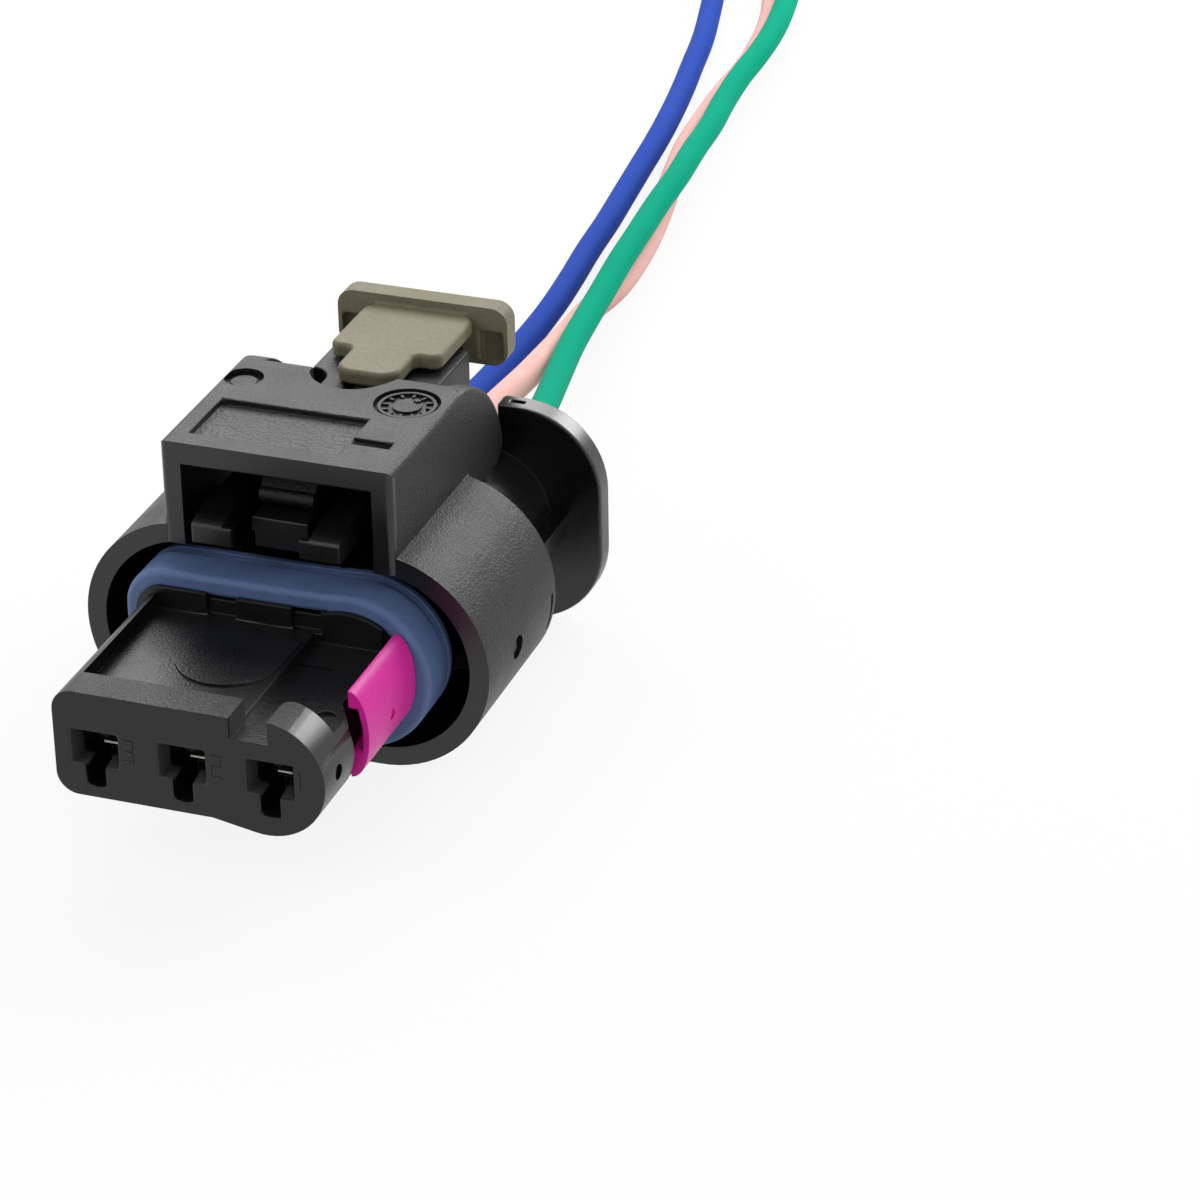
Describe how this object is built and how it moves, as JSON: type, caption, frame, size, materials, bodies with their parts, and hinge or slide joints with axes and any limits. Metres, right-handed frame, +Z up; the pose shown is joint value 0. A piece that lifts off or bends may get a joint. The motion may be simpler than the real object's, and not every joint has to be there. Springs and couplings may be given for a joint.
{
  "type": "connector pigtail",
  "caption": "Sealed oval plug with a latch lever, slide lock, side lock and seal, on a short pigtail of loose coloured wires with stripped ends.",
  "frame": {"origin": "under the middle of the plug without its wires, on the surface it stands on", "axes": "+Y from the mating face to the wires, +Z up towards the latch tower, +X along the pin row"},
  "size_m": [0.0284, 0.1258, 0.0145],
  "materials": {
    "housing_plastic": "matt black moulded plastic with a fine spark-eroded grain",
    "carrier_plastic": "satin black moulded plastic",
    "slide_lock_plastic": "satin olive grey moulded plastic",
    "side_lock_plastic": "satin magenta moulded plastic",
    "seal_silicone": "dark blue moulded silicone",
    "wire_seal_silicone": "brown moulded silicone",
    "tinned_contact": "tin-plated copper alloy strip",
    "spring_steel": "bright stainless strip",
    "blue_insulation": "extruded blue insulation",
    "pink_insulation": "extruded pale pink insulation",
    "green_insulation": "extruded teal green insulation",
    "copper_strand": "bare copper strands"
  },
  "bodies": {
    "plug": {"housing": "housing_plastic", "contact_carrier": "carrier_plastic", "interface_seal": "seal_silicone", "terminal_left": "tinned_contact", "terminal_centre": "tinned_contact", "terminal_right": "tinned_contact", "terminal_spring_left": "spring_steel", "terminal_spring_centre": "spring_steel", "terminal_spring_right": "spring_steel", "wire_seal_left": "wire_seal_silicone", "wire_seal_centre": "wire_seal_silicone", "wire_seal_right": "wire_seal_silicone", "wire_blue": "blue_insulation", "wire_pink": "pink_insulation", "wire_green": "green_insulation", "conductor_blue": "copper_strand", "conductor_pink": "copper_strand", "conductor_green": "copper_strand"},
    "lever": {"latch_lever": "housing_plastic"},
    "slide_lock": {"cpa_slider": "slide_lock_plastic"},
    "side_lock": {"tpa_lock": "side_lock_plastic"}
  },
  "joints": [
    {"name": "latch_press", "type": "hinge", "parent": "plug", "child": "lever", "pos_m": [0, 0.00235, 0.01197], "axis": [-1, 0, 0], "range_deg": [0, 6], "stiffness_Nm_per_rad": 0.6},
    {"name": "slide_lock_push", "type": "slide", "parent": "lever", "child": "slide_lock", "axis": [0, -1, 0], "range_m": [0, 0.0014]},
    {"name": "side_lock_pull", "type": "slide", "parent": "plug", "child": "side_lock", "axis": [1, 0, 0], "range_m": [0, 0.0014]}
  ]
}
